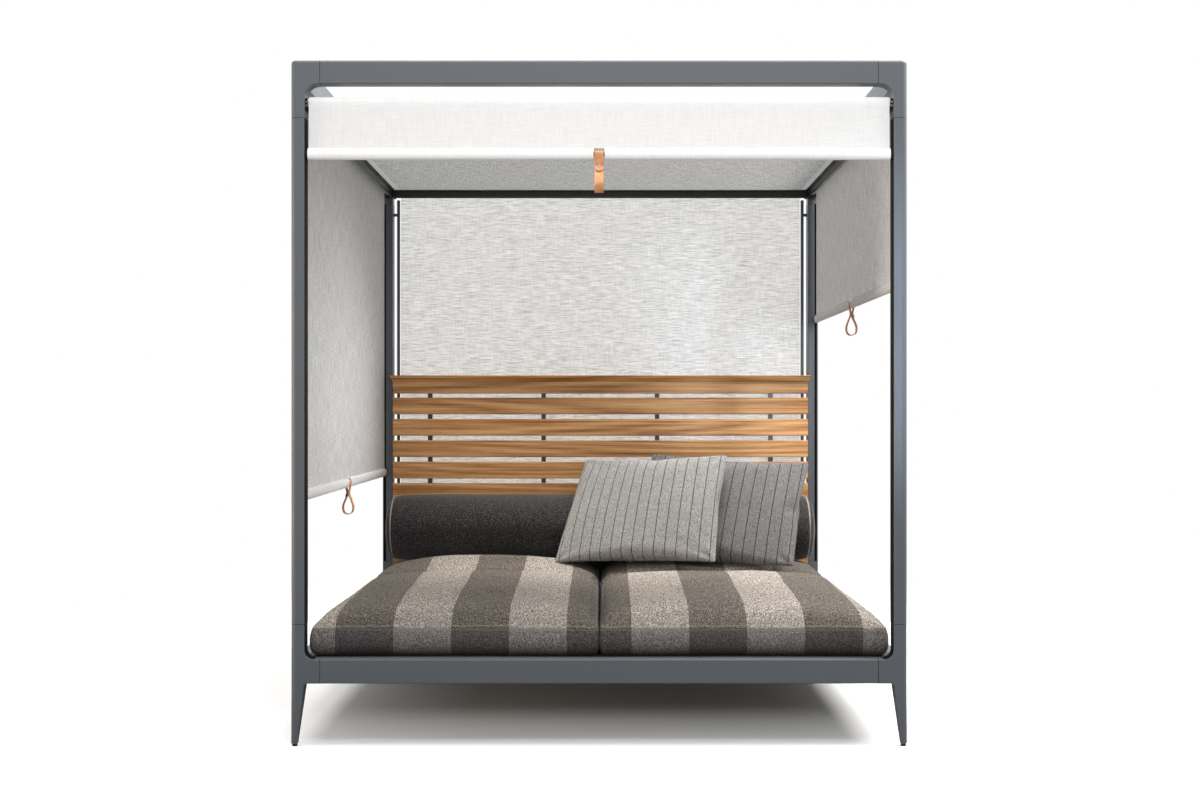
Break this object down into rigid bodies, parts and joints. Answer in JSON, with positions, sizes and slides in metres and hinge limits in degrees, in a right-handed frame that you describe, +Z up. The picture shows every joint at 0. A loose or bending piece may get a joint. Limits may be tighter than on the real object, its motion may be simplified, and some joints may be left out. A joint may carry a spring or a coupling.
{
  "type": "outdoor daybed with canopy",
  "caption": "Square-post outdoor daybed with a fabric roof, roller blinds on guide slots, a slatted teak headboard, striped seat cushions, a bolster and pillows.",
  "frame": {"origin": "on the floor at the middle of the four legs", "axes": "+X to the right seen from the front, +Y to the back, +Z up; the open side and the front blind face -Y"},
  "size_m": [2.024, 1.684, 2.223],
  "materials": {
    "frame_paint": "satin",
    "black_paint": "satin",
    "roller_cloth": "matte",
    "front_screen": "matte",
    "side_screen": "matte",
    "roof_screen": "matte",
    "strap_leather": "satin",
    "deck_wood": "matte",
    "teak": "satin",
    "seat_cloth": "matte",
    "bolster_cloth": "matte",
    "pale_pillow_cloth": "matte",
    "dark_pillow_cloth": "matte"
  },
  "bodies": {
    "daybed": {"blind_fabric_front": "front_screen", "blind_fabric_left": "side_screen", "blind_fabric_rear": "front_screen", "blind_fabric_right": "side_screen", "bolster": "bolster_cloth", "bottom_rail_front": "frame_paint", "bottom_rail_left": "frame_paint", "bottom_rail_rear": "frame_paint", "bottom_rail_right": "frame_paint", "headboard_cap": "teak", "headboard_slat_2": "teak", "headboard_slat_3": "teak", "headboard_slat_4": "teak", "headboard_slat_5": "teak", "headboard_slat_6": "teak", "headboard_slat_7": "teak", "headboard_slat_8": "teak", "headboard_slat_9": "teak", "headboard_upright_1": "black_paint", "headboard_upright_2": "black_paint", "headboard_upright_3": "black_paint", "headboard_upright_4": "black_paint", "headrail_front": "black_paint", "headrail_left": "black_paint", "headrail_rear": "black_paint", "headrail_right": "black_paint", "leg_front_left": "frame_paint", "leg_front_right": "frame_paint", "leg_rear_left": "frame_paint", "leg_rear_right": "frame_paint", "pillow_dark": "dark_pillow_cloth", "pillow_pale": "pale_pillow_cloth", "post_front_left": "frame_paint", "post_front_right": "frame_paint", "post_rear_left": "frame_paint", "post_rear_right": "frame_paint", "roof_canopy": "roof_screen", "seat_cushion_left": "seat_cloth", "seat_cushion_right": "seat_cloth", "seat_deck": "deck_wood", "top_corner_front_left": "frame_paint", "top_corner_front_right": "frame_paint", "top_corner_rear_left": "frame_paint", "top_corner_rear_right": "frame_paint", "top_rail_front": "frame_paint", "top_rail_left": "frame_paint", "top_rail_rear": "frame_paint", "top_rail_right": "frame_paint"},
    "blind_front": {"hem_bar_front": "front_screen", "pull_strap_front": "strap_leather"},
    "blind_left": {"hem_bar_left": "side_screen", "pull_strap_left": "strap_leather"},
    "blind_right": {"hem_bar_right": "side_screen", "pull_strap_right": "strap_leather"},
    "blind_rear": {"hem_bar_rear": "front_screen", "pull_strap_rear": "strap_leather"},
    "roller_front": {"roller_front": "roller_cloth"},
    "roller_left": {"roller_left": "roller_cloth"},
    "roller_right": {"roller_right": "roller_cloth"},
    "roller_rear": {"roller_rear": "roller_cloth"}
  },
  "joints": [
    {"name": "front_blind_travel", "type": "slide", "parent": "daybed", "child": "blind_front", "axis": [0, 0, 1], "range_m": [-1.5, 0.11], "deforming": ["blind_fabric_front"]},
    {"name": "left_blind_travel", "type": "slide", "parent": "daybed", "child": "blind_left", "axis": [0, 0, 1], "range_m": [-0.39, 1.225], "deforming": ["blind_fabric_left"]},
    {"name": "right_blind_travel", "type": "slide", "parent": "daybed", "child": "blind_right", "axis": [0, 0, 1], "range_m": [-1.09, 0.522], "deforming": ["blind_fabric_right"]},
    {"name": "rear_blind_travel", "type": "slide", "parent": "daybed", "child": "blind_rear", "axis": [0, 0, 1], "range_m": [0, 1.61], "deforming": ["blind_fabric_rear"]},
    {"name": "front_roller_turn", "type": "hinge", "parent": "daybed", "child": "roller_front", "pos_m": [0, -0.8035, 2.092], "axis": [1, 0, 0], "range_deg": [-5900, 5900]},
    {"name": "left_roller_turn", "type": "hinge", "parent": "daybed", "child": "roller_left", "pos_m": [-0.9735, 0, 2.092], "axis": [0, 1, 0], "range_deg": [-5900, 5900]},
    {"name": "right_roller_turn", "type": "hinge", "parent": "daybed", "child": "roller_right", "pos_m": [0.9735, 0, 2.092], "axis": [0, 1, 0], "range_deg": [-5900, 5900]},
    {"name": "rear_roller_turn", "type": "hinge", "parent": "daybed", "child": "roller_rear", "pos_m": [0, 0.8035, 2.092], "axis": [1, 0, 0], "range_deg": [-5900, 5900]}
  ],
  "couplings": [
    {"joint": "front_roller_turn", "follows": "front_blind_travel", "rad_per_m": -62.5},
    {"joint": "left_roller_turn", "follows": "left_blind_travel", "rad_per_m": 62.5},
    {"joint": "right_roller_turn", "follows": "right_blind_travel", "rad_per_m": -62.5},
    {"joint": "rear_roller_turn", "follows": "rear_blind_travel", "rad_per_m": 62.5}
  ]
}
